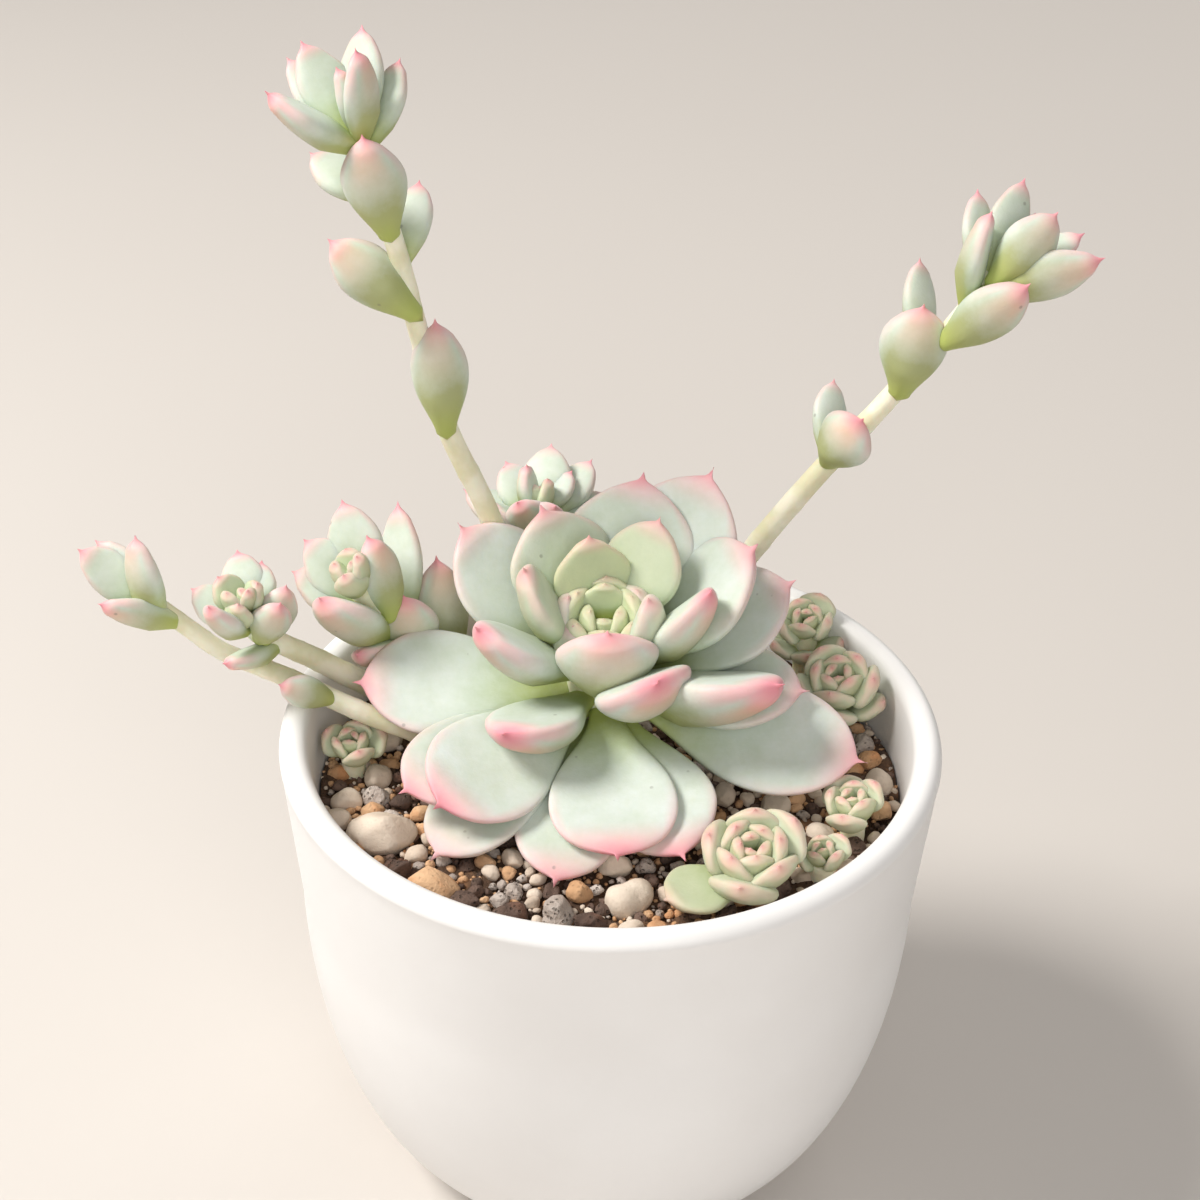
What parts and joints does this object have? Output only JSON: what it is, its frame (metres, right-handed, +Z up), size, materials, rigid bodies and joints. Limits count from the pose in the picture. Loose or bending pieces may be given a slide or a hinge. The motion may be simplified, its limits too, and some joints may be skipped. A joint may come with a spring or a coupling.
{
  "type": "potted succulent plant",
  "caption": "Small graptopetalum in a round white pot: a large rosette of pale green, pink-edged leaves, with rosettes on runners, tall leafy stems and young offsets in gritty soil.",
  "frame": {"origin": "centre of the pot's flat underside", "axes": "+Z up, -Y towards the front of the pot as seen in the picture, +X to the viewer's right"},
  "size_m": [0.1204, 0.0811, 0.1398],
  "materials": {
    "pot": "matte white glaze",
    "grit": "rough mixed mineral grit",
    "leaves": "fleshy leaf with a waxy bloom and pink margins",
    "young_leaves": "young fleshy leaf with a thin waxy bloom",
    "stems": "smooth pale green stem"
  },
  "bodies": {
    "root": {"pot": "pot", "soil": "grit", "main_rosette": "leaves", "rear_rosette": "leaves", "left_medium_rosette": "leaves", "left_small_rosette": "leaves", "left_runner": "leaves", "tall_left_stem": "leaves", "right_stem": "leaves", "offset_left": "young_leaves", "offset_back_right": "young_leaves", "offset_right": "young_leaves", "offset_lower_right": "young_leaves", "offset_small": "young_leaves", "offset_front": "young_leaves"}
  },
  "joints": []
}
